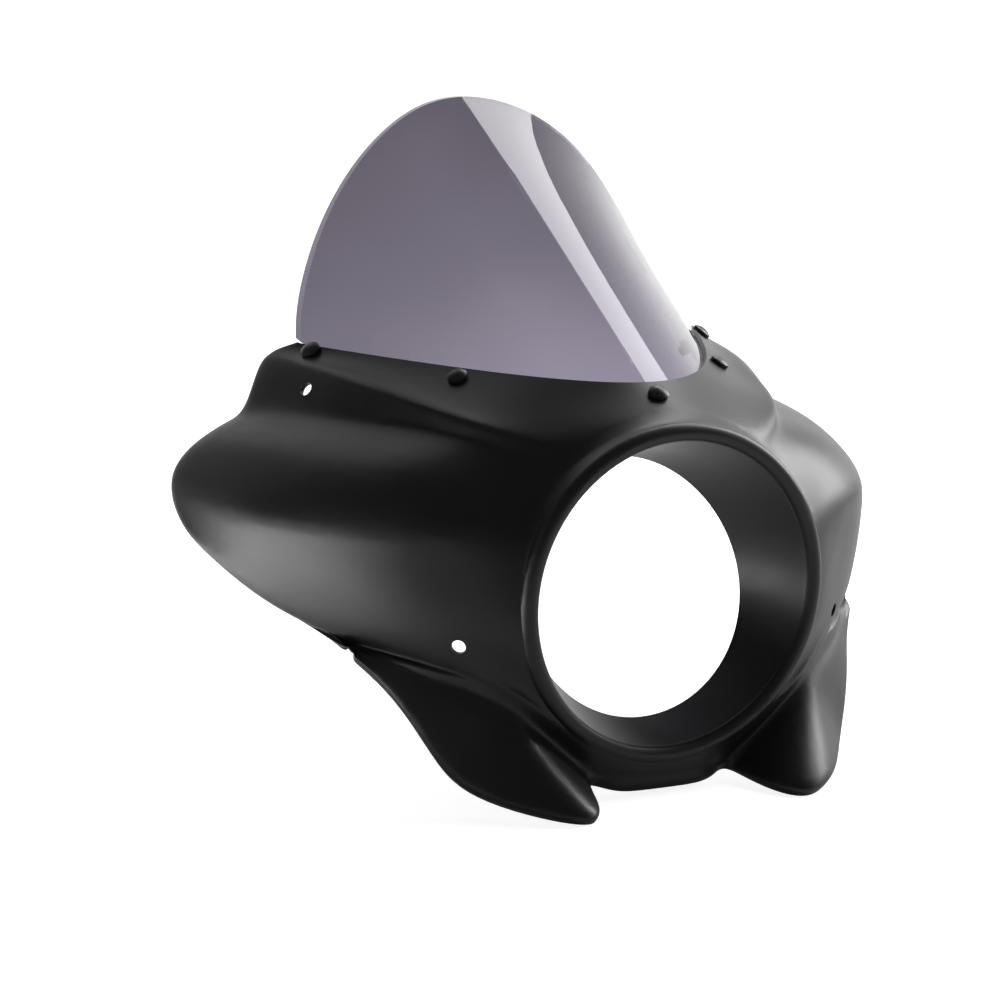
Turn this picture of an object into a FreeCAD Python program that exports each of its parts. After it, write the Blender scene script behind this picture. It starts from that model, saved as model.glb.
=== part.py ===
import FreeCAD, Part
import math
import os

Vector = FreeCAD.Vector

# Motorcycle headlamp fairing with its windscreen, in millimetres.
# The origin is the centre of the headlamp collar's front opening, +X is the rider's left seen from the
# front, +Y runs back to the rider along the collar's axis, and +Z is up.

doc = FreeCAD.newDocument("windscreen")
sheet = doc.addObject("Spreadsheet::Sheet", "sizes")

# Driving sizes
SIZES = [
    ("shellWall", 3.0),
    ("collarRadius", 100.0),
    ("collarTaper", 0.30),
    ("collarDepth", 62.0),
    ("collarRearSlope", 0.309),
    ("collarRearBow", 735.0),
    ("beadWidth", 12.0),
    ("beadHeight", 4.5),
    ("beadFoot", 6.0),
    ("halfWidth", 250.0),
    ("bodyDepth", 261.0),
    ("edgeHeight", 131.0),
    ("edgeSetback", 44.0),
    ("chinDrop", 128.0),
    ("lipReach", 4.0),
    ("lipDepth", 8.0),
    ("screenSheet", 3.0),
    ("screenGap", 0.5),
    ("screenRise", 160.0),
    ("screenRun", 263.0),
    ("screenSideInset", 1.0),
    ("screenFootGap", 6.0),
    ("screwEdgeDistance", 13.5),
    ("screwRearEdgeDistance", 11.5),
    ("screwSideSpan", 88.0),
    ("screwRearInset", 11.0),
    ("screwDiameter", 5.0),
    ("screwLength", 18.0),
    ("headDiameter", 13.4),
    ("headRim", 1.8),
    ("headDome", 2.4),
    ("holeClearance", 0.4),
    ("seatClearance", 0.3),
    ("washerDiameter", 12.4),
    ("washerThickness", 1.2),
    ("rubberDiameter", 12.0),
    ("rubberThickness", 2.0),
    ("nutFlats", 8.0),
    ("nutHeight", 5.0),
    ("nutFlangeDiameter", 11.0),
    ("nutFlangeThickness", 1.2),
    ("threadClearance", 0.05),
    ("bracketHole", 9.4),
    ("upperHoleBack", 202.6),
    ("upperHoleHeight", 107.5),
    ("lowerHoleBack", 25.7),
    ("lowerHoleHeight", -28.0),
]
for row, (alias, value) in enumerate(SIZES, start=1):
    sheet.set("A%d" % row, alias)
    sheet.set("B%d" % row, str(value))
    sheet.setAlias("B%d" % row, alias)
doc.recompute()


def size(alias):
    return float(sheet.get(alias))


WALL = size("shellWall")

# The styling below is drawn on a body of these sizes and follows the driving sizes from there.
NOMINAL_HALF_WIDTH = 250.0
NOMINAL_DEPTH = 261.0
NOMINAL_EDGE = 131.0
NOMINAL_CHIN = 128.0
# The top edge, seen from above, is a hyperbola: its half span, its bend and how fast it runs back.
EDGE_SPAN = 157.0
EDGE_BEND = 150.0
EDGE_RUN = 452.0
COLUMNS = 12

# Style rails of the shell, from the top edge down to the fin.
# Each rail runs from the centre plane outwards to the rear edge.

UPPER_RAILS = {
    "deck": [(0, 24, 121.5), (50, 45, 119), (94, 90, 119), (122, 146, 121.5), (146, 205, 124.5),
             (166, 257, 126.5)],
    "shoulder_top": [(0, 9, 114.5), (45, 14, 109), (75, 34, 104), (100, 56, 105.5), (128, 122, 115.5),
                     (147, 172, 121), (162, 222, 123), (171, 260, 123.5)],
    "shoulder": [(0, -2, 100), (45, 6, 97), (75, 22, 96), (98, 45, 101), (115, 68, 107), (138, 126, 114),
                 (153, 168, 119), (167, 222, 120), (177, 262, 118.5)],
    "wall": [(0, -8, 92), (45, 2, 90), (75, 19, 89), (98, 43, 96), (116, 66, 100), (137, 115, 105),
             (157, 157, 107), (171, 206, 107), (186, 254, 104)],
    "crease": [(0, -12, 82), (46, -2, 81), (77, 16, 82), (98, 40, 91), (113, 62, 95), (136, 105, 95.5),
               (159, 148, 94.5), (179, 197, 92), (196, 247, 85)],
    "shelf_inner": [(0, -14, 66), (48, -5, 66), (86, 14, 70), (108, 37, 82), (123, 56, 88.5), (148, 97, 90),
                    (172, 141, 89), (192, 191, 86), (210, 247, 80)],
    "shelf_outer": [(0, -14, 50), (52, -7, 50), (97, 11, 55), (126, 35, 69), (147, 55, 77), (174, 93, 79.5),
                    (196, 139, 78.5), (213, 189, 76), (230, 248, 68.5)],
    "ridge_top": [(0, -14, 36), (56, -9, 39), (102, 6, 45), (137, 27, 54), (162, 48, 58), (195, 88, 60),
                  (215, 135, 60), (230, 191, 59), (244, 249, 54)],
    "ridge": [(0, -13, 22), (60, -10, 28), (104, 3, 36), (141, 25, 42), (166, 42, 43), (198, 78, 42.5),
              (222, 115, 42), (241, 182, 41), (250, 243, 41)],
    "ridge_low": [(0, -12, 5), (60, -11, 12), (105, -1, 22), (142, 26, 28), (168, 44, 28), (200, 81, 27),
                  (223, 119, 25), (242, 179, 24), (252, 228, 27)],
    "under_top": [(0, -12, -15), (60, -11, -5), (106, -4, 4), (140, 23, 8), (166, 43, 8), (200, 83, 6),
                  (221, 122, 3), (239, 165, 1), (251, 202, 12)],
    "under_mid": [(0, -12, -40), (60, -10, -25), (106, -6, -12), (136, 18, -8), (161, 39, -11), (190, 74, -15),
                  (208, 106, -17), (225, 138, -18), (238, 172, -6)],
    "under_low": [(0, -10, -65), (60, -8, -50), (100, -6, -38), (128, 12, -27), (150, 31, -28), (172, 54, -30),
                  (189, 82, -33), (202, 110, -33), (213, 141, -25)],
}
# The lower rails have one point for each column: chin, notch, inner face, tip, foot, outer edge, root.
APPROACH = [(0, -3, -114), (14, -3, -113), (28, -3.5, -110), (40, -4.5, -105), (51, -5.5, -99), (64, -6, -90),
            (84, -6, -74), (98, -4, -60), (112, 5, -54), (127, 18, -49), (146, 32, -45), (169, 53, -41),
            (199, 112, -33)]
VALLEY = [(0, 0, -119), (15, 0, -118.5), (30, 1, -117), (41, 4, -116), (50, 8, -115), (65, 8, -104),
          (97, 9, -76), (108, 10, -68), (119, 16, -62), (135, 28, -56), (153, 42, -50), (172, 60, -43),
          (191, 82, -37)]
FOOT = [(0, 0, -126.5), (16, 0, -126.5), (31, 1, -126.3), (42, 5, -125.5), (51, 14, -122), (59, -12, -122.5),
        (75, -54, -123), (112, -33, -120.5), (144, 11, -116), (156, 24, -95), (166, 38, -74), (176, 57, -55),
        (189, 74, -41)]
# How far the fin steps out of the body below the valley, column by column.
HELD = 0.33
STEP = [HELD, HELD, HELD, HELD, 0.5, 0.7, 1.0, 1.0, 1.0, 1.0, 0.8, 0.45, 0.1]
STEP_OUT = Vector(1, -6, -8)

# The bead's foot: half its sweep and the step between its sections, in steps and degrees, the most of
# the bead's side that it may climb, and where its hollow's inner poles lie.
FOOT_STEPS = 14
FOOT_STEP_ANGLE = 5.6
FOOT_CLIMB = 0.72
FOOT_HOLLOW = 0.12
FOOT_RISE = 0.42
# The bracket holes' places across the body, as shares of its half width.
HOLE_SHARES = (("upper", 0.68), ("lower", 0.57))

# The screen's foot: its width below the deck as a share of the arch's, and its flange behind the screws
# as a share of a washer.
FOOT_WIDTH = 0.974
FLANGE_REST = 0.85
# The screen's free part is drawn from just above its foot to just above its top, and narrows on the way.
RISE_START = 0.019
RISE_SPAN = 1.056
WIDTH_START = 1.065
WIDTH_LOSS = 0.37
# The nose opens out towards the top by this share of the rise, to this power.
CURL_SHARE = 0.84
CURL_POWER = 2.5
# How far the screen's foot is drawn round the nose, as a share of the top edge's own run.
SCREEN_CURL = 1.0155
# The screen's half outline above the top edge, as shares of its half width and of its rise.
ARCH = [(0.984, 0), (0.939, 0.12), (0.882, 0.245), (0.741, 0.508), (0.532, 0.777), (0.3, 0.935), (0, 1)]


def styled(point):
    """A drawn style point moved to the driving sizes."""
    x, y, z = point
    tall = size("edgeHeight") / NOMINAL_EDGE if z > 0 else size("chinDrop") / NOMINAL_CHIN
    return Vector(x * size("halfWidth") / NOMINAL_HALF_WIDTH, y * size("bodyDepth") / NOMINAL_DEPTH, z * tall)


def edge_point(x):
    """The shell's top edge at a drawn place across it, a level hyperbola round the nose."""
    back = EDGE_RUN * (math.sqrt(1 + (x / EDGE_BEND) ** 2) - 1)
    point = styled((x, back, NOMINAL_EDGE))
    return point + Vector(0, size("edgeSetback"), 0)


def along(points, count):
    """Evenly spaced points along the smooth curve through the given ones."""
    curve = Part.BSplineCurve()
    curve.interpolate([styled(p) for p in points])
    return [Vector(p) for p in curve.discretize(count)]


def rails():
    """The half grid of control points: rows from the top edge down, columns from the centre out."""
    edge = [edge_point(EDGE_SPAN * (j / COLUMNS) ** 0.9) for j in range(COLUMNS + 1)]
    grid = [edge]
    for points in UPPER_RAILS.values():
        grid.append(along(points, COLUMNS + 1))
    approach = [styled(p) for p in APPROACH]
    valley = [styled(p) for p in VALLEY]
    foot = [styled(p) for p in FOOT]
    shoulder = []
    face = []
    for j in range(COLUMNS + 1):
        if STEP[j] == HELD:
            shoulder.append(valley[j] + (foot[j] - valley[j]) * HELD)
            face.append(valley[j] + (foot[j] - valley[j]) * 2 * HELD)
        else:
            start = valley[j] + STEP_OUT * STEP[j]
            shoulder.append(start)
            face.append(start + (foot[j] - start) * 0.5)
    grid += [approach, valley, shoulder, face, foot]
    return grid


def unit(vector):
    return Vector(vector).normalize()


def normals(grid):
    """Outward normals of a control grid, with the length that keeps a wall even round corners."""
    rows = len(grid)
    cols = len(grid[0])
    result = []
    for i in range(rows):
        line = []
        for j in range(cols):
            faces = []
            for di, dj in ((0, 0), (0, -1), (-1, 0), (-1, -1)):
                a = i + di
                b = j + dj
                if 0 <= a < rows - 1 and 0 <= b < cols - 1:
                    down = grid[a + 1][b] + grid[a + 1][b + 1] - grid[a][b] - grid[a][b + 1]
                    out = grid[a][b + 1] + grid[a + 1][b + 1] - grid[a][b] - grid[a + 1][b]
                    faces.append(unit(down.cross(out)))
            total = Vector()
            for face in faces:
                total += face
            mean = unit(total)
            cosine = sum(mean.dot(face) for face in faces) / len(faces)
            line.append(mean * (1 / max(cosine, 0.6)))
        result.append(line)
    return result


def mirrored(grid):
    """The whole grid from its half: the centre column is shared."""
    whole = []
    for line in grid:
        left = [Vector(-p.x, p.y, p.z) for p in reversed(line[1:])]
        whole.append(left + line)
    return whole


def with_lips(grid):
    """Adds the rounded return lip below the last row and beyond the last column."""
    reach = size("lipReach")
    depth = size("lipDepth")
    skin = normals(mirrored(grid))
    cols = len(grid[0])
    last = grid[-1]
    before = grid[-2]
    mirror_of_first = Vector(-last[1].x, last[1].y, last[1].z)
    first_lip = []
    second_lip = []
    for j in range(cols):
        n = unit(skin[-1][cols - 1 + j])
        previous = last[j - 1] if j > 0 else mirror_of_first
        ring = unit(last[min(j + 1, cols - 1)] - previous)
        out = last[j] - before[j]
        out = unit(out - ring * out.dot(ring) - n * out.dot(n))
        first_lip.append(last[j] + out * reach - n * (depth * 0.3))
        second_lip.append(last[j] + out * reach - n * depth)
    grid = grid + [first_lip, second_lip]
    skin = normals(mirrored(grid))
    for i, line in enumerate(grid):
        n = unit(skin[i][2 * (cols - 1)])
        above = grid[max(i - 1, 0)][-1]
        below = grid[min(i + 1, len(grid) - 1)][-1]
        ring = unit(below - above)
        out = line[-1] - line[-2]
        out = unit(out - ring * out.dot(ring) - n * out.dot(n))
        fade = min(1.0, i / 3.0)
        side_reach = reach * (0.2 + 0.8 * fade)
        line.append(line[-1] + out * side_reach - n * (depth * 0.3 * fade))
        line.append(line[-2] + out * (side_reach + 0.1) - n * (depth * fade))
    return grid


def clamped(count):
    """Knots and multiplicities of a clamped even cubic with that many control points."""
    spans = count - 3
    return [4] + [1] * (spans - 1) + [4], [float(k) for k in range(spans + 1)]


def surface(grid):
    u_mults, u_knots = clamped(len(grid))
    v_mults, v_knots = clamped(len(grid[0]))
    made = Part.BSplineSurface()
    made.buildFromPolesMultsKnots(grid, u_mults, v_mults, u_knots, v_knots, False, False, 3, 3)
    return made


def offset(grid, distance):
    skin = normals(grid)
    return [[p + n * distance for p, n in zip(line, ns)] for line, ns in zip(grid, skin)]


def split(whole, share):
    """A part of a surface between two shares of its column parameter."""
    low, high = whole.bounds()[2:4]
    made = whole.copy()
    made.segment(*whole.bounds()[0:2], low + (high - low) * share[0], low + (high - low) * share[1])
    return made


def sheet_solid(outer_grid, inner_grid):
    """A closed solid between two surfaces over like grids, with a seam on the centre plane."""
    outer = surface(outer_grid)
    inner = surface(inner_grid)
    faces = []
    for share, side in (((0, 0.5), 2), ((0.5, 1), 3)):
        over = split(outer, share)
        under = split(inner, share)
        faces += [over.toShape(), under.toShape()]
        edge = over.bounds()[side]
        pairs = [(over.uIso(over.bounds()[0]), under.uIso(under.bounds()[0])),
                 (over.uIso(over.bounds()[1]), under.uIso(under.bounds()[1])),
                 (over.vIso(edge), under.vIso(under.bounds()[side]))]
        for a, b in pairs:
            faces.append(Part.makeRuledSurface(a.toShape(), b.toShape()))
    shell = Part.makeShell(faces)
    shell.sewShape()
    if shell.ShapeType != "Shell":
        shell = Part.Shell(shell.Faces)
    solid = Part.makeSolid(shell)
    if solid.Volume < 0:
        solid.reverse()
    return solid, outer


def tool(radius, bottom, top, place):
    """A cylinder along a placement's own Z, as a shape to cut with."""
    made = Part.makeCylinder(radius, top - bottom, Vector(0, 0, bottom))
    made.Placement = place
    return made


def barrel(radius, front, back):
    """A cylinder about the collar's axis, with its seam at the chin."""
    made = Part.makeCylinder(radius, back - front, Vector(0, front, 0), Vector(0, 1, 0))
    made.rotate(Vector(0, 0, 0), Vector(0, 1, 0), 180)
    return made


def ring_section(points):
    """A solid of revolution about the collar's axis, from edges through points and arc middles."""
    edges = []
    for start, middle, end in points:
        if middle is None:
            edges.append(Part.LineSegment(start, end).toShape())
        else:
            edges.append(Part.Arc(start, middle, end).toShape())
    made = Part.Face(Part.Wire(edges)).revolve(Vector(0, 0, 0), Vector(0, 1, 0), 360)
    made.rotate(Vector(0, 0, 0), Vector(0, 1, 0), 90)
    return made


def collar():
    """The conical headlamp collar with the folded bead round its front opening."""
    radius = size("collarRadius")
    taper = size("collarTaper")
    width = size("beadWidth")
    height = size("beadHeight")
    back = 2.2 * size("collarDepth")
    crown = radius + 0.5 * width
    foot = 0.3 * height
    arc_height = height + foot
    lean = math.sqrt(0.5)
    fold = 0.5 * width - WALL
    fold_height = arc_height - WALL
    bore_back = Vector(radius - taper * back, back, 0)
    bore_front = Vector(radius, foot, 0)
    crest = Vector(crown, -height, 0)
    rim = Vector(radius + width, foot, 0)
    inner_rim = Vector(radius + width - WALL, foot, 0)
    valley = Vector(crown, WALL - height, 0)
    wall_front = Vector(radius + WALL, foot, 0)
    wall_back = Vector(radius + WALL - taper * back, back, 0)
    flare = ring_section([
        (bore_back, None, bore_front),
        (bore_front, Vector(crown - 0.5 * width * lean, foot - arc_height * lean, 0), crest),
        (crest, Vector(crown + 0.5 * width * lean, foot - arc_height * lean, 0), rim),
        (rim, None, inner_rim),
        (inner_rim, Vector(crown + fold * lean, foot - fold_height * lean, 0), valley),
        (valley, Vector(crown - fold * lean, foot - fold_height * lean, 0), wall_front),
        (wall_front, None, wall_back),
        (wall_back, None, bore_back)])
    # The rear edge is a slanted hollow curve, so the flare ends inside a wide leaning cylinder.
    bow = size("collarRearBow")
    slant = math.atan(size("collarRearSlope"))
    axis = Vector(0, math.sin(slant), math.cos(slant))
    start = Vector(0, size("collarDepth") - bow / math.cos(slant), 0) - axis * (4 * radius)
    return flare.common(Part.makeCylinder(bow, 8 * radius, start, axis))


def bead_wall():
    """The bead's outer wall, from its rim back to the shell's face."""
    rim = size("collarRadius") + size("beadWidth")
    start = 0.3 * size("beadHeight")
    depth = size("collarDepth")
    wall = barrel(rim, start, depth).cut(barrel(rim - WALL, start, depth))
    pieces = wall.cut(skin).Solids
    return [piece for piece in pieces if piece.Volume > 1 and piece.CenterOfMass.y < depth / 3]


def on_skin(point, way):
    """A point moved along a direction until it lies on the shell's outer surface."""
    for _ in range(30):
        u, v = skin_surface.parameter(point)
        n = Vector(skin_surface.normal(u, v))
        gap = (skin_surface.value(u, v) - point).dot(n)
        point = point + way * (gap / way.dot(n))
    return point


def bead_foot():
    """The soft hollow between the bead's outer wall and the shell's face, over the collar's top half."""
    rim = size("collarRadius") + size("beadWidth")
    start = 0.3 * size("beadHeight")
    buried = WALL / 4
    outer = [[], [], [], []]
    inner = [[], [], [], []]
    for k in range(-FOOT_STEPS, FOOT_STEPS + 1):
        angle = math.radians(FOOT_STEP_ANGLE * k)
        across = Vector(math.sin(angle), 0, math.cos(angle))
        front = Vector(0, -1, 0)
        near = on_skin(across * rim - front * start, front)
        reach = min(size("beadFoot"), FOOT_CLIMB * (near.y - start))
        far = rim + reach + 2 * buried
        edge = on_skin(across * far - front * near.y, front)
        slope = (edge - near) * (1 / (far - rim))
        outer[0].append(near - across * buried + front * (reach + 2 * buried))
        outer[1].append(near + across * (FOOT_HOLLOW * reach) + front * (FOOT_RISE * reach))
        outer[2].append(near + slope * (FOOT_RISE * reach) + front * (FOOT_HOLLOW * reach))
        outer[3].append(edge - front * buried)
        corner = near - across * (2 * buried) - front * (2 * buried)
        inner[0].append(near - across * (3 * buried) + front * (reach + 2 * buried))
        inner[1].append(corner)
        inner[2].append(corner)
        inner[3].append(edge - front * (3 * buried))
    return sheet_solid(outer, inner)[0]


def surface_frame(point):
    u, v = skin_surface.parameter(point)
    n = Vector(skin_surface.normal(u, v)) * OUTWARD
    return FreeCAD.Placement(point, FreeCAD.Rotation(Vector(0, 0, 1), n))


def edge_frame(x, distance):
    """The placement on the deck at a distance from the top edge, beside the edge's point at x."""
    v = column_at(x)
    down = skin_surface.vIso(v)
    u = down.parameterAtDistance(distance, down.FirstParameter)
    return surface_frame(skin_surface.value(u, v))


def column_at(x):
    """The surface's column parameter where the top edge passes x."""
    low, high = skin_surface.bounds()[2:4]
    for _ in range(50):
        middle = (low + high) / 2
        if skin_surface.value(0, middle).x < x:
            low = middle
        else:
            high = middle
    return (low + high) / 2


half = with_lips(rails())
outer_grid = mirrored(half)
inner_grid = offset(outer_grid, -WALL)
skin, skin_surface = sheet_solid(outer_grid, inner_grid)
OUTWARD = 1 if Vector(skin_surface.normal(0.5, sum(skin_surface.bounds()[2:4]) / 2)).z > 0 else -1

EDGE_END = edge_point(EDGE_SPAN).x
SCREW_PLACES = {"centre": edge_frame(0, size("screwEdgeDistance"))}
HOLE_PLACES = {}
for side, sign in (("left", 1), ("right", -1)):
    front_span = size("screwSideSpan")
    rear_span = EDGE_END - size("screwRearInset")
    SCREW_PLACES["front_" + side] = edge_frame(sign * front_span, size("screwEdgeDistance"))
    SCREW_PLACES["rear_" + side] = edge_frame(sign * rear_span, size("screwRearEdgeDistance"))
    for level, share in HOLE_SHARES:
        start = Vector(sign * share * size("halfWidth"), size(level + "HoleBack"), size(level + "HoleHeight"))
        HOLE_PLACES[level + "_" + side] = surface_frame(on_skin(start, Vector(1, 0, 0)))


def fairing_shape():
    """The moulded shell: styled skin, collar, bracket holes and screw holes with flat seats."""
    reach = size("collarRadius") + 0.5 * size("beadWidth")
    through = size("bodyDepth")
    body = skin.cut(barrel(reach, -through, through))
    body = body.fuse([collar(), bead_foot()] + bead_wall())
    cuts = []
    for place in HOLE_PLACES.values():
        cuts.append(tool(size("bracketHole") / 2, -4 * WALL, 2 * WALL, place))
    hole = size("screwDiameter") / 2 + size("holeClearance")
    sunk = size("seatClearance")
    for place in SCREW_PLACES.values():
        seat = tool(size("washerDiameter") / 2 + sunk, -sunk, 2 * WALL, place)
        cuts.append(seat.fuse(tool(hole, -size("screwLength") - WALL, -sunk, place)))
    for cutter in cuts:
        body = body.cut(cutter)
    return body


def screen_point(x, rise):
    """The free screen's outer surface: a rounded nose that leans back, at a share of the screen's rise."""
    start = edge_point(0)
    curl = (edge_point(EDGE_SPAN).y - start.y) * SCREEN_CURL * (1 - (max(rise, 0) * CURL_SHARE) ** CURL_POWER)
    bend = EDGE_BEND * EDGE_END / EDGE_SPAN
    nose = (math.sqrt(1 + (x / bend) ** 2) - 1) / (math.sqrt(1 + (EDGE_SPAN / EDGE_BEND) ** 2) - 1)
    back = start.y + size("screenFootGap") + rise * size("screenRun") + curl * nose
    return Vector(x, back, size("edgeHeight") + rise * size("screenRise"))


def screen_shape():
    """The smoked screen: a nose-shaped sheet whose foot runs under the deck, trimmed to its arch."""
    half_width = EDGE_END - size("screenSideInset")
    steps = 16
    columns = []
    for k in range(-steps, steps + 1):
        share = (abs(k) / steps) ** 1.3
        columns.append(column_at(math.copysign(share * half_width * FOOT_WIDTH, k)))
    below = WALL + size("screenGap")
    flange = size("screwEdgeDistance") + FLANGE_REST * size("washerDiameter")
    rows = []
    for step in (4, 3, 2, 1, 0):
        line = []
        for v in columns:
            down = skin_surface.vIso(v)
            u = down.parameterAtDistance(flange * step / 4, down.FirstParameter)
            n = Vector(skin_surface.normal(u, v)) * OUTWARD
            line.append(skin_surface.value(u, v) - n * below)
        rows.append(line)
    foot = rows[-1]
    levels = 9
    for k in range(levels + 1):
        rise = RISE_START + RISE_SPAN * k / levels
        width = WIDTH_START - WIDTH_LOSS * rise
        rows.append([screen_point(p.x * width, rise) for p in foot])
    outer = list(reversed(rows))
    solid = sheet_solid(outer, offset(outer, -size("screenSheet")))[0]
    base = size("edgeHeight")
    right = [Vector(half_width * a, 0, base + size("screenRise") * b) for a, b in ARCH]
    whole = right + [Vector(-p.x, 0, p.z) for p in reversed(right[:-1])]
    curve = Part.BSplineCurve()
    curve.interpolate(whole)
    side = right[0].x
    wide = half_width + flange
    tuck = base - 2 * WALL
    low = base - 3 * flange
    corners = [Vector(-side, 0, base), Vector(-side, 0, tuck), Vector(-wide, 0, tuck), Vector(-wide, 0, low),
               Vector(wide, 0, low), Vector(wide, 0, tuck), Vector(side, 0, tuck), Vector(side, 0, base)]
    edges = [curve.toShape()]
    for a, b in zip(corners, corners[1:]):
        edges.append(Part.LineSegment(a, b).toShape())
    outline = Part.Face(Part.Wire(Part.sortEdges(edges)[0]))
    trimmed = solid.common(outline.extrude(Vector(0, 2 * size("bodyDepth"), 0)))
    hole = size("screwDiameter") / 2 + size("holeClearance")
    for place in SCREW_PLACES.values():
        trimmed = trimmed.cut(tool(hole, -size("screwLength") - WALL, WALL, place))
    return trimmed


def feature(name, shape):
    made = doc.addObject("Part::Feature", name)
    made.Label = name
    made.Shape = shape
    made.Placement = FreeCAD.Placement()
    return made


def cylinder(name, radius, height, z):
    made = doc.addObject("Part::Cylinder", name)
    made.setExpression("Radius", radius)
    made.setExpression("Height", height)
    made.setExpression("Placement.Base.z", z)
    return made


def combined(kind, name, first, second):
    made = doc.addObject("Part::" + kind, name)
    made.Base = first
    made.Tool = second
    return made


def placed(made, label, place):
    made.Label = label
    made.Placement = place
    return made


def screw(where, place):
    """A domed cap screw: the dome is a ball trimmed by the head's own cylinder."""
    seat = "sizes.washerThickness - sizes.seatClearance"
    tall = "sizes.headRim + sizes.headDome"
    head = cylinder("head_" + where, "sizes.headDiameter / 2", tall, seat)
    ball = doc.addObject("Part::Sphere", "ball_" + where)
    bulge = "((sizes.headDiameter / 2) ^ 2 + sizes.headDome ^ 2) / (2 * sizes.headDome)"
    ball.setExpression("Radius", bulge)
    ball.setExpression("Placement.Base.z", seat + " + " + tall + " - " + bulge)
    dome = combined("Common", "dome_" + where, head, ball)
    shank = cylinder("shank_" + where, "sizes.screwDiameter / 2", "sizes.screwLength + sizes.headRim",
                     seat + " - sizes.screwLength")
    return placed(combined("Fuse", "screw_" + where + "_solid", dome, shank), "screw_" + where, place)


def ring(label, place, outer, bore, height, z):
    body = cylinder(label + "_disc", outer, height, z)
    hole = cylinder(label + "_bore", bore, height + " + 2", z + " - 1")
    return placed(combined("Cut", label + "_solid", body, hole), label, place)


# The underside of the rubber washers, below the deck, the gap, the screen and the seat.
RUBBER_BOTTOM = ("(-sizes.shellWall - sizes.screenGap - sizes.screenSheet - sizes.seatClearance"
                 " - sizes.rubberThickness)")


def nut(where, place):
    """A flanged hexagon nut drawn up against the rubber washer."""
    under = RUBBER_BOTTOM
    flange = cylinder("flange_" + where, "sizes.nutFlangeDiameter / 2", "sizes.nutFlangeThickness",
                      under + " - sizes.nutFlangeThickness")
    hexagon = doc.addObject("Part::Prism", "hexagon_" + where)
    hexagon.Polygon = 6
    hexagon.setExpression("Circumradius", "sizes.nutFlats / sqrt(3)")
    hexagon.setExpression("Height", "sizes.nutHeight + sizes.nutFlangeThickness / 2")
    hexagon.setExpression("Placement.Base.z", under + " - sizes.nutFlangeThickness - sizes.nutHeight")
    blank = combined("Fuse", "blank_" + where, flange, hexagon)
    bore = cylinder("thread_" + where, "sizes.screwDiameter / 2 + sizes.threadClearance",
                    "sizes.nutHeight + 4", under + " - sizes.nutFlangeThickness - sizes.nutHeight - 1")
    return placed(combined("Cut", "nut_" + where + "_solid", blank, bore), "nut_" + where, place)


parts = [feature("fairing_shell", fairing_shape()), feature("windscreen", screen_shape())]
for where, place in SCREW_PLACES.items():
    parts.append(screw(where, place))
    parts.append(ring("head_washer_" + where, place, "sizes.washerDiameter / 2",
                      "sizes.screwDiameter / 2 + sizes.threadClearance", "sizes.washerThickness",
                      "-sizes.seatClearance"))
    parts.append(ring("rubber_washer_" + where, place, "sizes.rubberDiameter / 2",
                      "sizes.screwDiameter / 2 + sizes.threadClearance", "sizes.rubberThickness",
                      RUBBER_BOTTOM))
    parts.append(nut(where, place))
doc.recompute()

for made in doc.Objects:
    if "Invalid" in made.State or "Error" in made.State:
        raise RuntimeError("failed: " + made.Name)
os.makedirs("parts", exist_ok=True)
for made in parts:
    if made.Shape.isNull() or not made.Shape.isValid():
        raise RuntimeError("bad shape: " + made.Label)
    made.Shape.exportStep("parts/" + made.Label + ".step")
    print(made.Label, made.Shape.ShapeType, len(made.Shape.Solids), len(made.Shape.Faces),
          round(made.Shape.Volume))
for name, place in SCREW_PLACES.items():
    print(name, place.Base, place.Rotation.multVec(Vector(0, 0, 1)))
for name, place in HOLE_PLACES.items():
    print(name, place.Base, place.Rotation.multVec(Vector(0, 0, 1)))
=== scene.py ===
"""Studio scene of a black motorcycle headlamp fairing with its smoked windscreen."""

from __future__ import annotations

import logging
import math
from dataclasses import dataclass, field
from enum import Enum

import bmesh
import bpy
from mathutils import Matrix, Vector

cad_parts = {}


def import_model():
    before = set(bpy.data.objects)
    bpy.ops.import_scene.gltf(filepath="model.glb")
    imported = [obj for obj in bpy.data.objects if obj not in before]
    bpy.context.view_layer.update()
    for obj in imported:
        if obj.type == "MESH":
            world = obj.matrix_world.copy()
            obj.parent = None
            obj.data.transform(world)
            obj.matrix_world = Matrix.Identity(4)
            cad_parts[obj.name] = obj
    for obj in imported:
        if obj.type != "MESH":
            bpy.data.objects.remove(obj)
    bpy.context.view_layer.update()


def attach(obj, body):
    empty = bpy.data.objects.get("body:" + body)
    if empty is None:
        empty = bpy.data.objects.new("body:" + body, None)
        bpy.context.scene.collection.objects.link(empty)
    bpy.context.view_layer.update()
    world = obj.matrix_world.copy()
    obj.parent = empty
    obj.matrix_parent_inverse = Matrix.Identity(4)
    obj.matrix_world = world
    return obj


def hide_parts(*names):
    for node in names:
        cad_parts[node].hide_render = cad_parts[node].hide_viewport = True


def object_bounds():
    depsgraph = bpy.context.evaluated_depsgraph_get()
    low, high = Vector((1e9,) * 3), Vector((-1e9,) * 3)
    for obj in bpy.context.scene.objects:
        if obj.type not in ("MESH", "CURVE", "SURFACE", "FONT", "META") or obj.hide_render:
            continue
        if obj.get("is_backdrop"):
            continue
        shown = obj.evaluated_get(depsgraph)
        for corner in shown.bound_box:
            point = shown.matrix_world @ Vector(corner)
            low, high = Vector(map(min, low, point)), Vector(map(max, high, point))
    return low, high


LOG = logging.getLogger("fairing_scene")
MM = 0.001
WELD = 1e-6
BODY = "root"
KEPT_NORMALS = "cad_normal"
OWN_NORMALS = "custom_normal"

Colour = tuple[float, float, float, float]
Triple = tuple[float, float, float]
Socket = bpy.types.NodeSocket


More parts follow.
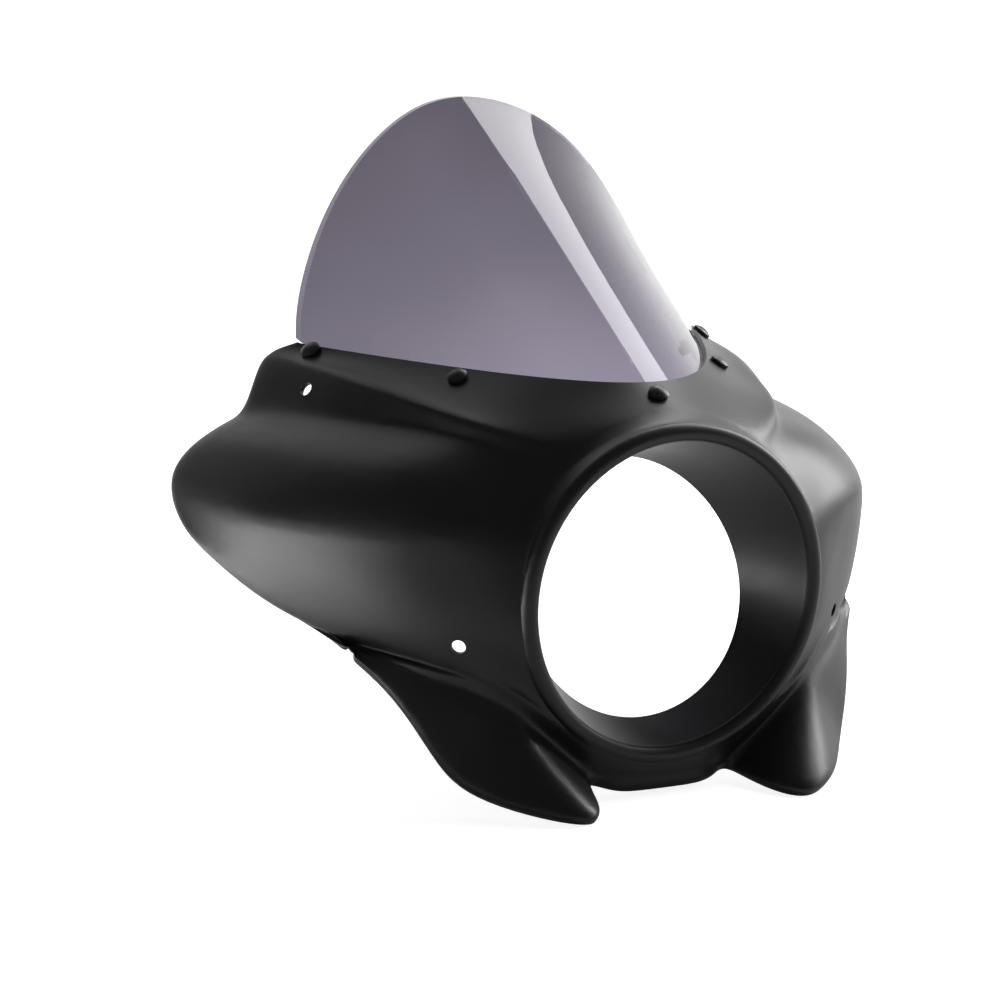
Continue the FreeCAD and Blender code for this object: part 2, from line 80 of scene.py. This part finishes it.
class Place(Enum):
    """The five places where a screw holds the screen, named as the CAD nodes end."""

    CENTRE = "centre"
    FRONT_LEFT = "front_left"
    FRONT_RIGHT = "front_right"
    REAR_LEFT = "rear_left"
    REAR_RIGHT = "rear_right"


class Slot(Enum):
    """The names of two material slots in the record."""

    SHELL = "shell_black"
    SCREEN = "screen_smoke"


@dataclass(frozen=True)
class Pattern:
    """A noise pattern: its scale in turns a metre and how many octaves it has."""

    scale: float
    detail: float


@dataclass(frozen=True)
class Fade:
    """A straight mapping: low at start, high at end, and held beyond them."""

    low: float
    high: float
    start: float = 0.3
    end: float = 0.7


@dataclass(frozen=True)
class Relief:
    """A bump: its pattern, its depth in metres and how much of it shows."""

    pattern: Pattern
    depth: float
    strength: float = 0.5


class NodeTree:
    """A small helper that adds and links shader nodes."""

    def __init__(self, tree: bpy.types.NodeTree) -> None:
        """Empties the tree.

        Args:
            tree: The node tree to fill.
        """
        self.tree = tree
        tree.nodes.clear()

    def add(self, kind: str, **values: object) -> bpy.types.Node:
        """Adds a node and sets its attributes or input defaults.

        Args:
            kind: The node's type name.
            **values: Attribute names, or input names with spaces as underscores.

        Returns:
            The new node.
        """
        node = self.tree.nodes.new(kind)
        for name, value in values.items():
            if hasattr(node, name):
                setattr(node, name, value)
            else:
                node.inputs[name.replace("_", " ")].default_value = value
        return node

    def link(self, start: Socket, end: Socket) -> None:
        """Links an output socket to an input socket."""
        self.tree.links.new(start, end)

    def coordinates(self) -> Socket:
        """Gives the Object coordinates that every pattern reads."""
        return self.add("ShaderNodeTexCoord").outputs["Object"]

    def noise(self, pattern: Pattern) -> Socket:
        """Adds a noise pattern on Object coordinates.

        Args:
            pattern: The pattern's scale and detail.

        Returns:
            The pattern's factor socket.
        """
        node = self.add("ShaderNodeTexNoise", Scale=pattern.scale, Detail=pattern.detail)
        self.link(self.coordinates(), node.inputs["Vector"])
        return node.outputs["Fac"]

    def blend(self, source: Socket, first: Colour, second: Colour,
              start: float = 0.3, end: float = 0.7) -> Socket:
        """Maps a factor to a colour between two.

        Args:
            source: The factor to map.
            first: The colour at start.
            second: The colour at end.
            start: The factor's low end.
            end: The factor's high end.

        Returns:
            The colour socket.
        """
        node = self.add("ShaderNodeValToRGB")
        for element, position, colour in zip(node.color_ramp.elements, (start, end), (first, second)):
            element.position = position
            element.color = colour
        self.link(source, node.inputs["Fac"])
        return node.outputs["Color"]

    def spread(self, source: Socket, fade: Fade) -> Socket:
        """Maps a value from one range to another.

        Args:
            source: The value to map.
            fade: The two ranges.

        Returns:
            The mapped value's socket.
        """
        node = self.add("ShaderNodeMapRange", From_Min=fade.start, From_Max=fade.end,
                        To_Min=fade.low, To_Max=fade.high)
        self.link(source, node.inputs["Value"])
        return node.outputs["Result"]

    def paired(self, operation: str, first: Socket, second: Socket) -> Socket:
        """Joins two values by a maths operation.

        Args:
            operation: The operation's name.
            first: One value.
            second: The other value.

        Returns:
            The result's socket.
        """
        node = self.add("ShaderNodeMath", operation=operation)
        self.link(first, node.inputs[0])
        self.link(second, node.inputs[1])
        return node.outputs["Value"]

    def times(self, first: Socket, second: Socket) -> Socket:
        """Multiplies two values."""
        return self.paired("MULTIPLY", first, second)

    def most(self, first: Socket, second: Socket) -> Socket:
        """Gives the larger of two values."""
        return self.paired("MAXIMUM", first, second)

    def along(self, vector: Socket, way: Triple) -> Socket:
        """Measures a vector along a fixed direction.

        Args:
            vector: The vector to measure.
            way: The direction, of length one.

        Returns:
            The length's socket.
        """
        node = self.add("ShaderNodeVectorMath", operation="DOT_PRODUCT")
        self.link(vector, node.inputs[0])
        node.inputs[1].default_value = way
        return node.outputs["Value"]

    def split(self, vector: Socket) -> bpy.types.NodeOutputs:
        """Splits a vector into its X, Y and Z outputs."""
        node = self.add("ShaderNodeSeparateXYZ")
        self.link(vector, node.inputs["Vector"])
        return node.outputs

    def bump(self, relief: Relief, under: Socket | None = None) -> Socket:
        """Adds a bump.

        Args:
            relief: The bump's pattern, depth and strength.
            under: A bump that this one lies on.

        Returns:
            The normal socket.
        """
        node = self.add("ShaderNodeBump", Distance=relief.depth, Strength=relief.strength)
        self.link(self.noise(relief.pattern), node.inputs["Height"])
        if under is not None:
            self.link(under, node.inputs["Normal"])
        return node.outputs["Normal"]


def grey(level: float, tint: float = 0.0) -> Colour:
    """Gives a grey with a little blue.

    Args:
        level: The grey's linear value.
        tint: How much bluer it is, as a share.

    Returns:
        The colour.
    """
    return (level, level, level * (1.0 + tint), 1.0)


def started(name: str, **values: float) -> tuple[bpy.types.Material, NodeTree, bpy.types.Node]:
    """Starts a material that holds one Principled shader.

    Args:
        name: The material's name.
        **values: Input defaults of the shader, with spaces as underscores.

    Returns:
        The material, the helper for its nodes, and the shader.
    """
    made = bpy.data.materials.new(name)
    made.use_nodes = True
    net = NodeTree(made.node_tree)
    shader = net.add("ShaderNodeBsdfPrincipled", **values)
    out = net.add("ShaderNodeOutputMaterial")
    net.link(shader.outputs["BSDF"], out.inputs["Surface"])
    return made, net, shader


@dataclass(frozen=True)
class SatinPlastic:
    """Injection moulded black plastic: fine grain, a soft sheen and a little dust."""

    name: str = "satin_black_plastic"
    refraction: float = 1.5
    dark: Colour = grey(0.0075, 0.03)
    light: Colour = grey(0.0105)
    mottle: Pattern = Pattern(14.0, 4.0)
    patches: Pattern = Pattern(9.0, 3.0)
    gloss: Fade = Fade(0.34, 0.42)
    wave: Relief = Relief(Pattern(22.0, 1.0), 0.0002, 0.35)
    grain: Relief = Relief(Pattern(2600.0, 2.0), 0.00003)
    dust: Colour = grey(0.05)
    dust_scale: float = 420.0
    dust_size: Fade = Fade(1.0, 0.0, 0.03, 0.07)
    dusty: Pattern = Pattern(55.0, 2.0)
    dusty_share: Fade = Fade(0.0, 1.0, 0.66, 0.72)

    def dusted(self, net: NodeTree, base: Socket) -> Socket:
        """Lays specks of dust on a colour.

        Args:
            net: The material's nodes.
            base: The colour below the dust.

        Returns:
            The colour socket with the dust.
        """
        speck = net.add("ShaderNodeTexVoronoi", Scale=self.dust_scale)
        net.link(net.coordinates(), speck.inputs["Vector"])
        near = net.spread(speck.outputs["Distance"], self.dust_size)
        rare = net.spread(net.noise(self.dusty), self.dusty_share)
        mix = net.add("ShaderNodeMix", data_type="RGBA")
        net.link(net.times(near, rare), mix.inputs["Factor"])
        net.link(base, mix.inputs[6])
        mix.inputs[7].default_value = self.dust
        return mix.outputs[2]

    def material(self) -> bpy.types.Material:
        """Builds the material.

        Returns:
            The new material.
        """
        made, net, shader = started(self.name, IOR=self.refraction)
        base = net.blend(net.noise(self.mottle), self.dark, self.light)
        net.link(self.dusted(net, base), shader.inputs["Base Color"])
        net.link(net.spread(net.noise(self.patches), self.gloss), shader.inputs["Roughness"])
        net.link(net.bump(self.grain, net.bump(self.wave)), shader.inputs["Normal"])
        return made


@dataclass(frozen=True)
class SmokedSheet:
    """Glossy smoked acrylic that tints what is behind it, with painted light and shade: its colour is
    darkened towards its top and its left edge and lightened towards its bottom.
    """

    name: str = "smoked_acrylic"
    refraction: float = 1.49
    tint: Colour = (0.150, 0.135, 0.172, 1.0)
    tint_deep: Colour = (0.130, 0.117, 0.150, 1.0)
    patches: Pattern = Pattern(5.0, 2.0)
    patch_start: float = 0.35
    patch_end: float = 0.65
    # Painted light and shade: these scale the tint, lighter towards the bottom of the sheet and darker
    # towards its top and its left edge.
    painted_light_by_height: Fade = Fade(1.32, 0.70, 0.135, 0.285)
    painted_shade_at_left: Fade = Fade(0.70, 1.08, -0.15, -0.05)
    haze: Pattern = Pattern(700.0, 3.0)
    gloss: Fade = Fade(0.0, 0.035, 0.5, 0.8)

    def material(self) -> bpy.types.Material:
        """Builds the material.

        Returns:
            The new material.
        """
        made, net, shader = started(self.name, IOR=self.refraction, Transmission_Weight=1.0)
        patchy = net.blend(net.noise(self.patches), self.tint_deep, self.tint,
                           self.patch_start, self.patch_end)
        # Painted light and shade: the tint is scaled by height and by side, lighter near the bottom and
        # darker at the top and the left edge.
        place = net.split(net.coordinates())
        lift = net.add("ShaderNodeVectorMath", operation="SCALE")
        net.link(patchy, lift.inputs[0])
        net.link(net.times(net.spread(place["Z"], self.painted_light_by_height), net.spread(place["X"], self.painted_shade_at_left)),
                 lift.inputs["Scale"])
        net.link(lift.outputs["Vector"], shader.inputs["Base Color"])
        net.link(net.spread(net.noise(self.haze), self.gloss), shader.inputs["Roughness"])
        return made


@dataclass(frozen=True)
class CoatedPart:
    """A small black part, moulded, coated or rubber, told apart by its sheen and grain."""

    name: str
    dark: Colour
    light: Colour
    gloss: Fade
    mottle: Pattern = Pattern(160.0, 4.0)
    patches: Pattern = Pattern(400.0, 3.0)
    grain: Relief = Relief(Pattern(3000.0, 2.0), 0.00002)

    def material(self) -> bpy.types.Material:
        """Builds the material.

        Returns:
            The new material.
        """
        made, net, shader = started(self.name)
        net.link(net.blend(net.noise(self.mottle), self.dark, self.light), shader.inputs["Base Color"])
        net.link(net.spread(net.noise(self.patches), self.gloss), shader.inputs["Roughness"])
        net.link(net.bump(self.grain), shader.inputs["Normal"])
        return made


@dataclass(frozen=True)
class PlatedSteel:
    """Zinc plated steel with a dull, slightly patchy plating."""

    name: str = "plated_steel"
    dark: Colour = (0.34, 0.35, 0.36, 1.0)
    light: Colour = (0.55, 0.56, 0.58, 1.0)
    gloss: Fade = Fade(0.26, 0.44)
    mottle: Pattern = Pattern(240.0, 5.0)
    patches: Pattern = Pattern(600.0, 3.0)

    def material(self) -> bpy.types.Material:
        """Builds the material.

        Returns:
            The new material.
        """
        made, net, shader = started(self.name, Metallic=1.0)
        net.link(net.blend(net.noise(self.mottle), self.dark, self.light), shader.inputs["Base Color"])
        net.link(net.spread(net.noise(self.patches), self.gloss), shader.inputs["Roughness"])
        return made


def welded(mesh: bpy.types.Mesh, smooth_angle: float) -> None:
    """Merges a CAD mesh's loose triangles and keeps the CAD's normals beside them.

    Args:
        mesh: The mesh to merge.
        smooth_angle: Edges sharper than this many degrees stay sharp.
    """
    normals = [corner.vector.copy() for corner in mesh.corner_normals]
    work = bmesh.new()
    work.from_mesh(mesh)
    kept = work.loops.layers.float_vector.new(KEPT_NORMALS)
    corners = (corner for face in work.faces for corner in face.loops)
    for corner, normal in zip(corners, normals):
        corner[kept] = normal
    bmesh.ops.remove_doubles(work, verts=work.verts, dist=WELD)
    for face in work.faces:
        face.smooth = True
    limit = math.radians(smooth_angle)
    for edge in work.edges:
        edge.smooth = edge.is_manifold and edge.calc_face_angle(0.0) < limit
    work.to_mesh(mesh)
    work.free()
    if mesh.has_custom_normals:
        mesh.attributes.remove(mesh.attributes[OWN_NORMALS])


@dataclass
class Moulding:
    """A large piece that stands for a CAD node, with its triangles merged and shaded smooth.

    Attributes:
        node: The CAD node that the piece stands for.
        name: The piece's name.
        slot: The record's material slot; not used.
        finish: The finish.
        smooth_angle: Edges sharper than this many degrees stay sharp.
        exact: Whether the node's own normals are kept, for clean reflections in a glossy sheet.
    """

    node: str
    name: str
    slot: Slot
    finish: SatinPlastic | SmokedSheet
    smooth_angle: float
    exact: bool = False

    def shade(self, piece: bpy.types.Object) -> None:
        """Shades the piece by the CAD's normals, or evenly over its faces."""
        mesh = piece.data
        if self.exact:
            mesh.normals_split_custom_set([corner.vector for corner in mesh.attributes[KEPT_NORMALS].data])
        else:
            weigh = piece.modifiers.new("even_shading", "WEIGHTED_NORMAL")
            weigh.keep_sharp = True
            weigh.mode = "FACE_AREA_WITH_ANGLE"
        mesh.attributes.remove(mesh.attributes[KEPT_NORMALS])

    def build(self) -> list[bpy.types.Object]:
        """Builds the piece.

        Returns:
            The piece, alone in a list.
        """
        mesh = bpy.data.objects[self.node].data.copy()
        mesh.name = self.name
        welded(mesh, self.smooth_angle)
        mesh.materials.clear()
        mesh.materials.append(self.finish.material())
        piece = bpy.data.objects.new(self.name, mesh)
        bpy.context.scene.collection.objects.link(piece)
        self.shade(piece)
        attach(piece, BODY)
        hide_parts(self.node)
        return [piece]


@dataclass
class Fixings:
    """The screws, washers and nuts at the five places."""

    screw: CoatedPart = CoatedPart("coated_black_screw", grey(0.014), grey(0.024), Fade(0.27, 0.38))
    washer: CoatedPart = CoatedPart("dark_washer", grey(0.006), grey(0.010), Fade(0.50, 0.61))
    rubber: CoatedPart = CoatedPart("black_rubber", grey(0.012), grey(0.022), Fade(0.65, 0.76))
    nut: PlatedSteel = PlatedSteel()

    def build(self) -> list[bpy.types.Object]:
        """Dresses the CAD nodes of every place.

        Returns:
            The dressed nodes.
        """
        kinds = {"screw_": self.screw, "head_washer_": self.washer, "rubber_washer_": self.rubber,
                 "nut_": self.nut}
        done = []
        for prefix, finish in kinds.items():
            material = finish.material()
            for place in Place:
                node = bpy.data.objects[prefix + place.value]
                for holder in node.material_slots:
                    holder.link = "OBJECT"
                    holder.material = material
                done.append(node)
        return done


@dataclass
class Room:
    """The room: white where it is seen, a lit backdrop behind, dim in front and above."""

    name: str = "studio_room"
    turn: float = 50.0
    behind: Fade = Fade(0.0, 1.0, 0.0, 0.6)
    low: Fade = Fade(1.0, 0.0, 0.17, 0.78)
    level: Fade = Fade(0.12, 1.5, 0.0, 1.0)

    def build(self) -> list[bpy.types.World]:
        """Builds the room.

        Returns:
            The room, alone in a list.
        """
        room = bpy.data.worlds.new(self.name)
        bpy.context.scene.world = room
        room.use_nodes = True
        net = NodeTree(room.node_tree)
        rays = net.add("ShaderNodeLightPath").outputs
        way = net.add("ShaderNodeTexCoord").outputs["Generated"]
        turn = math.radians(self.turn)
        behind = net.spread(net.along(way, (math.sin(turn), math.cos(turn), 0.0)), self.behind)
        low = net.spread(net.split(way)["Z"], self.low)
        lit = net.add("ShaderNodeBackground")
        net.link(net.spread(net.times(behind, low), self.level), lit.inputs["Strength"])
        plain = net.add("ShaderNodeBackground", Color=grey(1.0))
        mix = net.add("ShaderNodeMixShader")
        net.link(net.most(rays["Is Camera Ray"], rays["Is Transmission Ray"]), mix.inputs["Fac"])
        net.link(lit.outputs["Background"], mix.inputs[1])
        net.link(plain.outputs["Background"], mix.inputs[2])
        out = net.add("ShaderNodeOutputWorld")
        net.link(mix.outputs["Shader"], out.inputs["Surface"])
        return [room]


@dataclass
class Floor:
    """A white floor that keeps a soft shadow, and is bright in reflections only on its far left.

    Attributes:
        size: The floor's side in metres.
        drop: How far it lies below the object, in metres.
        paint: The grey that the lamps light.
        glow: The level that is seen, by the distance from the object.
        mirror_reach: The share that reflections see, by the distance from the object.
        mirror_side: The share that reflections see, by the distance along bright_side.
        bright_side: The direction in which the floor is bright in reflections.
    """

    size: float = 24.0
    drop: float = 0.0004
    paint: Colour = grey(0.80)
    glow: Fade = Fade(0.84, 1.0, 0.35, 0.95)
    mirror_reach: Fade = Fade(0.42, 1.0, 0.28, 0.6)
    mirror_side: Fade = Fade(0.10, 1.0, 0.10, 0.42)
    bright_side: Triple = (-0.5, 0.87, 0.0)

    def material(self) -> bpy.types.Material:
        """Builds the floor's material.

        Returns:
            The new material.
        """
        made = bpy.data.materials.new("white_floor")
        made.use_nodes = True
        net = NodeTree(made.node_tree)
        paint = net.add("ShaderNodeBsdfDiffuse", Color=self.paint)
        glow = net.add("ShaderNodeEmission")
        rays = net.add("ShaderNodeLightPath").outputs
        away = net.add("ShaderNodeVectorMath", operation="LENGTH")
        net.link(net.coordinates(), away.inputs[0])
        distance = away.outputs["Value"]
        mirror = net.times(net.spread(distance, self.mirror_reach),
                           net.spread(net.along(net.coordinates(), self.bright_side), self.mirror_side))
        shown = net.most(rays["Is Camera Ray"], rays["Is Transmission Ray"])
        shown = net.most(shown, net.times(rays["Is Glossy Ray"], mirror))
        net.link(net.times(shown, net.spread(distance, self.glow)), glow.inputs["Strength"])
        total = net.add("ShaderNodeAddShader")
        net.link(paint.outputs["BSDF"], total.inputs[0])
        net.link(glow.outputs["Emission"], total.inputs[1])
        out = net.add("ShaderNodeOutputMaterial")
        net.link(total.outputs["Shader"], out.inputs["Surface"])
        return made

    def build(self) -> list[bpy.types.Object]:
        """Lays the floor just below the object.

        Returns:
            The floor, alone in a list.
        """
        low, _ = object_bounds()
        work = bmesh.new()
        bmesh.ops.create_grid(work, x_segments=1, y_segments=1, size=self.size / 2)
        bmesh.ops.translate(work, verts=work.verts, vec=(0.0, 0.0, low[2] - self.drop))
        mesh = bpy.data.meshes.new("floor")
        work.to_mesh(mesh)
        work.free()
        mesh.materials.append(self.material())
        piece = bpy.data.objects.new("floor", mesh)
        bpy.context.scene.collection.objects.link(piece)
        piece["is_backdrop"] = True
        return [piece]


@dataclass(frozen=True)
class Softbox:
    """A softbox that faces the object.

    Attributes:
        name: The lamp's name.
        azimuth: Degrees from straight behind the object, towards its +X side.
        elevation: Degrees above the horizon.
        distance: Metres from the object.
        width: The softbox's width in metres.
        height: The softbox's height in metres.
        power: Its power in watts.
    """

    name: str
    azimuth: float
    elevation: float
    distance: float
    width: float
    height: float
    power: float

    def hang(self, centre: Vector) -> bpy.types.Object:
        """Hangs the lamp.

        Args:
            centre: The point that it faces.

        Returns:
            The lamp.
        """
        turn = math.radians(self.azimuth)
        lift = math.radians(self.elevation)
        way = Vector((math.sin(turn) * math.cos(lift), math.cos(turn) * math.cos(lift), math.sin(lift)))
        data = bpy.data.lights.new(self.name, "AREA")
        data.shape = "RECTANGLE"
        data.size = self.width
        data.size_y = self.height
        data.energy = self.power
        piece = bpy.data.objects.new(self.name, data)
        piece.location = centre + way * self.distance
        piece.rotation_euler = way.to_track_quat("Z", "Y").to_euler()
        bpy.context.scene.collection.objects.link(piece)
        return piece


@dataclass(frozen=True)
class FloorLamp:
    """A narrow softbox that lights only the floor beside the object, for the plastic to reflect."""

    name: str = "floor_softbox"
    place: Triple = (-0.74, 0.29, 0.32)
    side: float = 0.6
    spread: float = 60.0
    power: float = 8.0

    def hang(self) -> bpy.types.Object:
        """Hangs the lamp, facing down.

        Returns:
            The lamp.
        """
        data = bpy.data.lights.new(self.name, "AREA")
        data.shape = "SQUARE"
        data.size = self.side
        data.energy = self.power
        data.spread = math.radians(self.spread)
        piece = bpy.data.objects.new(self.name, data)
        piece.location = self.place
        bpy.context.scene.collection.objects.link(piece)
        return piece


@dataclass
class Lamps:
    """The lamps: one for the screen's light band, one behind, one at the right, one for the floor."""

    band: Softbox = Softbox("band_softbox", 63.0, 48.7, 1.9, 1.8, 0.62, 15.0)
    back: Softbox = Softbox("back_softbox", -6.0, 48.0, 2.4, 1.3, 1.2, 2.3)
    right: Softbox = Softbox("right_softbox", 87.0, 25.0, 1.8, 0.8, 1.15, 20.5)
    low: FloorLamp = FloorLamp()
    centre: Vector = field(default_factory=lambda: Vector((0.0, 0.11, 0.08)))

    def build(self) -> list[bpy.types.Object]:
        """Hangs the lamps.

        Returns:
            The lamps.
        """
        return [box.hang(self.centre) for box in (self.band, self.back, self.right)] + [self.low.hang()]


@dataclass
class PhotoCamera:
    """The camera of the photograph, set from the solved viewing position."""

    place: Vector = field(default_factory=lambda: Vector((-993.1, -1585.4, 454.7)) * MM)
    right: Vector = field(default_factory=lambda: Vector((0.8816, -0.4706, 0.0379)))
    down: Vector = field(default_factory=lambda: Vector((-0.0653, -0.2010, -0.9775)))
    lens: float = 108.0
    sensor: float = 36.0
    nearest: float = 0.05
    farthest: float = 50.0

    def build(self) -> list[bpy.types.Object]:
        """Builds the camera and makes it the scene's.

        Returns:
            The camera, alone in a list.
        """
        data = bpy.data.cameras.new("photo_camera")
        data.lens = self.lens
        data.sensor_width = self.sensor
        data.sensor_fit = "HORIZONTAL"
        data.clip_start = self.nearest
        data.clip_end = self.farthest
        right = self.right.normalized()
        back = right.cross(-self.down).normalized()
        up = back.cross(right)
        turn = Matrix((right, up, back)).transposed().to_4x4()
        piece = bpy.data.objects.new("photo_camera", data)
        piece.matrix_world = Matrix.Translation(self.place) @ turn
        bpy.context.scene.collection.objects.link(piece)
        bpy.context.scene.camera = piece
        return [piece]


def main() -> None:
    """Builds the pieces in order and reports each one."""
    logging.basicConfig(level=logging.INFO, format="%(message)s")
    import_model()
    bpy.context.scene.view_settings.view_transform = "Standard"
    parts = (
        Moulding("fairing_shell", "shell", Slot.SHELL, SatinPlastic(), 32.0),
        Moulding("windscreen", "screen", Slot.SCREEN, SmokedSheet(), 40.0, exact=True),
        Fixings(),
        Room(),
        Floor(),
        Lamps(),
        PhotoCamera(),
    )
    for part in parts:
        for piece in part.build():
            LOG.info("%s: %s", type(part).__name__, piece.name)


if __name__ == "__main__":
    main()
